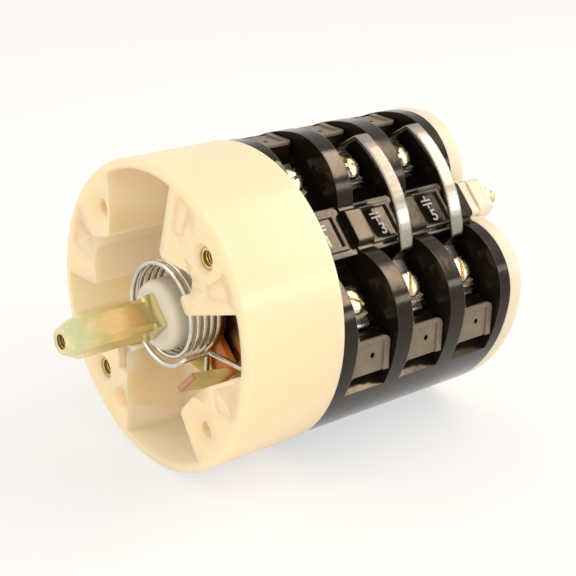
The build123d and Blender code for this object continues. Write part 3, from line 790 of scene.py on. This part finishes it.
nut_profile = [(0.0, nut_mouth), (0.0, nut_face), (nut_chamfer, nut_corner),
               (nut_t - nut_chamfer, nut_corner), (nut_t, nut_face), (nut_t, nut_mouth)]
one_nut = turned("one_nut", nut_profile, 72, green_zinc, six_sided)
hole_line = [(-overrun, nut_hole), (nut_t + overrun, nut_hole)]
one_nut = carve(one_nut, turned("bore", hole_line, 36, green_zinc))
along_rod = Matrix.Rotation(math.radians(90), 4, "Z")
nut_seat = boss_y + tie_washer_t
thread_length = (rod_reach - tie_washer_t - nut_t - rod_tip) * mm
nut_places, rod_threads = [], []
for s in (1, -1):
    seat = tilt @ Vector((s * rod_x, nut_seat, 0)) * mm
    nut_places.append(Matrix.Translation(seat) @ along_rod)
    start = tilt @ Vector((s * rod_x, nut_seat + nut_t, 0)) * mm
    rod_threads.append(threading(start, rod_r, rod_pitch, thread_length, rod_zinc, rod_ridge))
nuts = piece("chamfered_nuts", [set_at(one_nut, nut_places, green_zinc)], "base",
             ["tie_nuts"])
nuts.data.set_sharp_from_angle(angle=math.radians(30))
piece("rod_threads", rod_threads, "base")


# Studio
# The switch stands on a plain pale floor under four soft lamps and a warm surround. Floor and
# surround are near white where the camera or a mirrored ray looks straight at them.
def looked_at(tree):
    rays = [tree.node("ShaderNodeLightPath", out=out)
            for out in ("Is Camera Ray", "Is Glossy Ray", "Is Transmission Ray")]
    return rays[0] + rays[1] + rays[2] > 0.5


floor_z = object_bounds()[0][2]
floor_size, floor_gap = 6.0, 0.2 * mm
bpy.ops.mesh.primitive_plane_add(size=floor_size, location=(0, 0, floor_z - floor_gap))
floor = bpy.context.object
floor.name = "floor"
paper = Finish("floor_paper", (0.93, 0.93, 0.92), Roughness=0.85)
paper_tints = [(0.3, (0.90, 0.90, 0.89)), (0.7, (0.92, 0.92, 0.91))]
paper.feed("Base Color", paper.ramp(paper.noise(3.0), paper_tints))
glow = paper.node("ShaderNodeEmission", Color=(1, 1, 1, 1), Strength=1.0)
plain = Sum(paper.tree, paper.shader.outputs[0])
lit = paper.node("ShaderNodeMixShader", i0=0.62 * looked_at(paper), i1=plain, i2=glow)
paper.tree.links.new(lit.socket, paper.tree.nodes["Material Output"].inputs["Surface"])
floor.data.materials.append(paper.material)

world = bpy.data.worlds.new("studio")
bpy.context.scene.world = world
world.use_nodes = True
world.node_tree.nodes.clear()
sky = Nodes(world.node_tree)
ambient = sky.node("ShaderNodeBackground", Color=(1.0, 0.94, 0.85, 1), Strength=0.82)
white = sky.node("ShaderNodeBackground", Color=(1, 1, 1, 1), Strength=1.0)
both = sky.node("ShaderNodeMixShader", i0=looked_at(sky), i1=ambient, i2=white)
surround = world.node_tree.nodes.new("ShaderNodeOutputWorld")
world.node_tree.links.new(both.socket, surround.inputs["Surface"])


def lamp(name, place, target, size, power, tint, along=None):
    """A soft rectangular lamp that faces a target; along is the way its long side runs."""
    data = bpy.data.lights.new(name, "AREA")
    data.shape = "RECTANGLE"
    data.size, data.size_y = size
    data.energy = power
    data.color = tint
    holder = bpy.data.objects.new(name, data)
    holder.location = place
    holder.rotation_euler = (Vector(target) - Vector(place)).to_track_quat("-Z", "Y").to_euler()
    if along:
        back = (Vector(place) - Vector(target)).normalized()
        wide = (Vector(along) - back * back.dot(Vector(along))).normalized()
        holder.rotation_euler = Matrix((wide, back.cross(wide), back)).transposed().to_euler()
    bpy.context.scene.collection.objects.link(holder)


middle = (0.0, 0.045, 0.0)
lamp("softbox_left", (-0.35, -0.55, 0.45), middle, (0.6, 0.6), 0.9, (1.0, 0.97, 0.92))
lamp("softbox_front", (0.3, -0.7, 0.0), middle, (0.5, 0.3), 1.6, (1.0, 0.96, 0.86))
lamp("strip_back", (0.29, 0.60, 0.62), middle, (0.65, 0.08), 3.5, (1.0, 0.88, 0.72),
     (0.905, 0.0, -0.426))
lamp("window_right", (0.68, 0.56, 0.27), middle, (0.36, 0.12), 1.2, (0.93, 0.96, 1.0))

# The camera stands where the photograph was taken from, with the same field of view.
focal_px, picture_px, sensor_mm = 1372.0, 576.0, 36.0
azimuth, elevation, roll = (math.radians(v) for v in (50.10, 21.79, 1.74))
eye_at = (0.2817, -0.1876, 0.1443)
bpy.context.scene.view_settings.view_transform = "Standard"
camera = bpy.data.cameras.new("camera")
camera.lens = focal_px * sensor_mm / picture_px
camera.sensor_width = sensor_mm
camera.clip_start = 0.01
eye = bpy.data.objects.new("camera", camera)
bpy.context.scene.collection.objects.link(eye)
forward = Vector((-math.sin(azimuth) * math.cos(elevation), math.cos(azimuth) * math.cos(elevation),
                  -math.sin(elevation)))
right = Vector((math.cos(azimuth), math.sin(azimuth), 0))
up = right.cross(forward)
side = math.cos(roll) * right + math.sin(roll) * up
top = -math.sin(roll) * right + math.cos(roll) * up
turn = Matrix((side, top, -forward)).transposed().to_4x4()
eye.matrix_world = Matrix.Translation(eye_at) @ turn
bpy.context.scene.camera = eye
